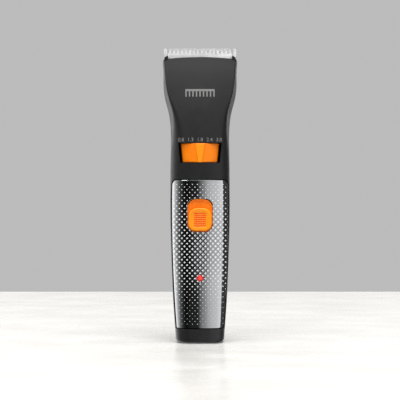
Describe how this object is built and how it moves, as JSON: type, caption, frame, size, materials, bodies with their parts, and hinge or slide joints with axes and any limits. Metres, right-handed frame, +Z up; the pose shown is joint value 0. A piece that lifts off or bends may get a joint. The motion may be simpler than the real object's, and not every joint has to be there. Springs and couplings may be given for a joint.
{
  "type": "hair clipper",
  "caption": "Cordless hair clipper: flared blade head, turning length dial, sliding power switch, status lamp, embossed mirror front panel and a base charging inlet.",
  "frame": {"origin": "centre of the base, on the surface it stands on", "axes": "+Z up to the blades, -Y is the front with the switch, +X to the right seen from the front"},
  "size_m": [0.0466, 0.0391, 0.182],
  "materials": {
    "casing_black": "moulded satin black plastic",
    "cap_grey": "moulded satin dark grey plastic",
    "panel_mirror": "mirror-coated plastic with an embossed dot pattern",
    "orange_gloss": "moulded orange plastic, satin gloss",
    "red_lens": "clear red moulded lens",
    "ring_black": "black acetal",
    "blade_steel": "ground blade steel",
    "spring_steel": "plated spring steel",
    "white_acetal": "natural acetal",
    "frame_nylon": "glass-filled nylon",
    "motor_steel": "zinc-plated steel",
    "magnet": "sintered ferrite",
    "board_green": "solder-masked glass epoxy",
    "chip_black": "moulded epoxy",
    "cell_wrap": "shrink-wrapped cell",
    "contact_metal": "tinned brass and nickel strip"
  },
  "bodies": {
    "housing": {"battery_cell": "cell_wrap", "battery_cradle": "frame_nylon", "blade_cover": "casing_black", "board_chips": "chip_black", "charge_jack": "frame_nylon", "circuit_board": "board_green", "detent_spring": "spring_steel", "dial_retainer": "ring_black", "drive_frame": "frame_nylon", "end_cap": "cap_grey", "front_panel": "panel_mirror", "front_shell": "casing_black", "jack_terminals": "contact_metal", "lamp_lens": "red_lens", "motor_can": "motor_steel", "motor_end_bell": "frame_nylon", "motor_magnets": "magnet", "motor_terminals": "contact_metal", "negative_tab": "contact_metal", "pivot_pin": "spring_steel", "positive_tab": "contact_metal", "rear_shell": "casing_black", "shell_screws": "spring_steel", "slide_switch": "ring_black", "status_lamp": "red_lens", "switch_bezel": "orange_gloss"},
    "rotor": {"motor_shaft": "spring_steel", "armature": "motor_steel", "eccentric": "white_acetal"},
    "lever": {"drive_lever": "white_acetal"},
    "cutter_set": {"cutter": "blade_steel", "cutter_bridge": "white_acetal"},
    "comb_set": {"fixed_blade": "blade_steel", "comb_carrier": "white_acetal", "comb_strap": "white_acetal", "follower_pin": "spring_steel", "blade_screws": "spring_steel", "tension_springs": "spring_steel"},
    "dial": {"length_dial": "orange_gloss", "dial_ring": "ring_black"},
    "slider": {"power_slider": "orange_gloss", "switch_knob": "ring_black"}
  },
  "joints": [
    {"name": "motor_spin", "type": "hinge", "parent": "housing", "child": "rotor", "pos_m": [0, -0.0018, 0.1], "axis": [0, 0, 1], "continuous": true},
    {"name": "lever_swing", "type": "hinge", "parent": "housing", "child": "lever", "pos_m": [0, 0, 0.142], "axis": [0, 1, 0], "range_deg": [-2.9, 2.9]},
    {"name": "cutter_slide", "type": "slide", "parent": "housing", "child": "cutter_set", "axis": [1, 0, 0], "range_m": [-0.00116, 0.00116]},
    {"name": "dial_turn", "type": "hinge", "parent": "housing", "child": "dial", "pos_m": [0, -0.0018, 0.11675], "axis": [0, 0, 1], "range_deg": [-46, 46]},
    {"name": "comb_slide", "type": "slide", "parent": "housing", "child": "comb_set", "axis": [0, 0, 1], "range_m": [-0.00115, 0.00115]},
    {"name": "switch_slide", "type": "slide", "parent": "housing", "child": "slider", "axis": [0, 0, 1], "range_m": [0, 0.0048]}
  ],
  "couplings": [
    {"joint": "lever_swing", "follows": "cutter_slide", "rad_per_m": 43.478},
    {"joint": "comb_slide", "follows": "dial_turn", "m_per_rad": 0.00137}
  ]
}
